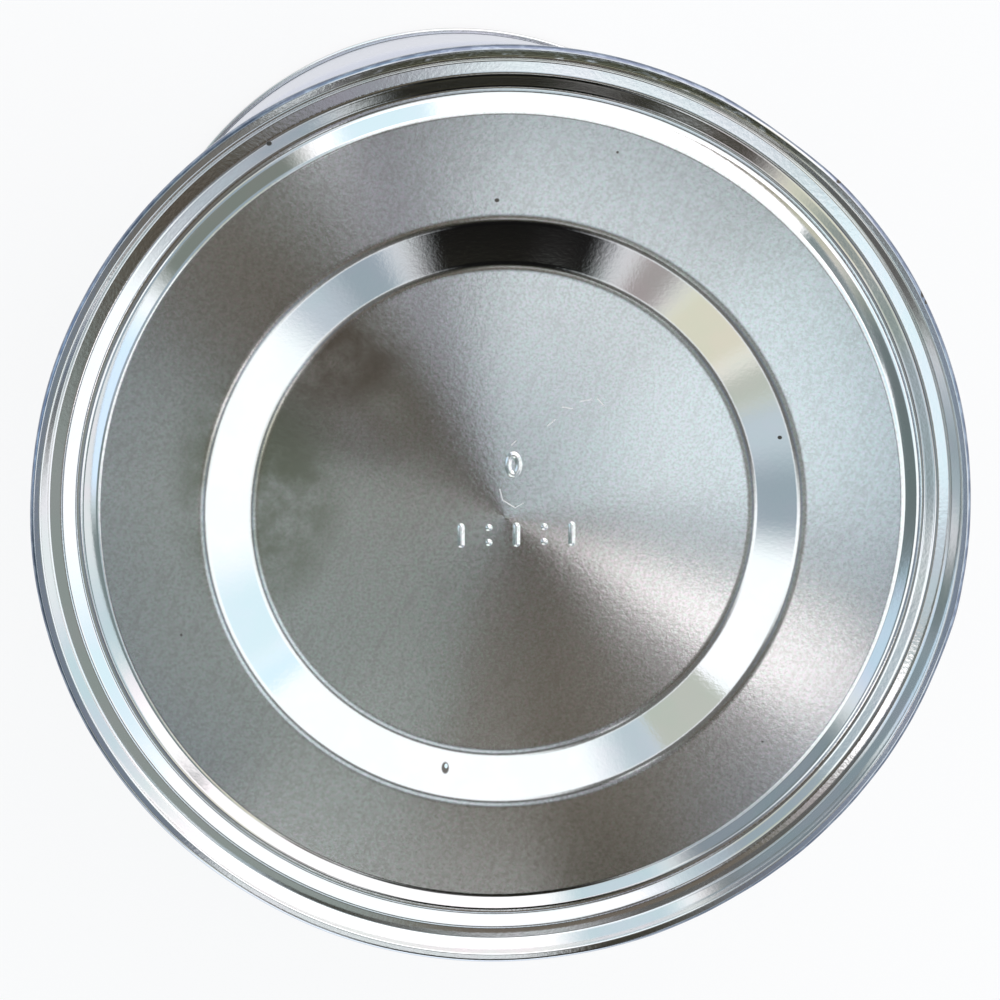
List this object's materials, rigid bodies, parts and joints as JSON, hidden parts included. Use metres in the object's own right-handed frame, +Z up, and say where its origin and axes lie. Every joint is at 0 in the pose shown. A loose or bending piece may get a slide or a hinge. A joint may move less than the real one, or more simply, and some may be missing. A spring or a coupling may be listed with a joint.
{
  "type": "coffee can",
  "caption": "Sealed round tinplate can of ground coffee, closed by seamed ends that carry a rim channel, a flat panel and a stepped round well.",
  "frame": {"origin": "centre of the ring that the can stands on", "axes": "+Z up along the can's axis, out of the end that shows; the can is round, so +X and +Y are any two directions square to it"},
  "size_m": [0.1032, 0.1032, 0.1191],
  "materials": {
    "end_tinplate": "bright tinplate, pressed, mirror-like on its slopes and satin on its flats",
    "wall_tinplate": "bright rolled tinplate, satin, with a welded side seam"
  },
  "bodies": {
    "root": {"upper_end": "end_tinplate", "can_body": "wall_tinplate", "lower_end": "end_tinplate"}
  },
  "joints": []
}
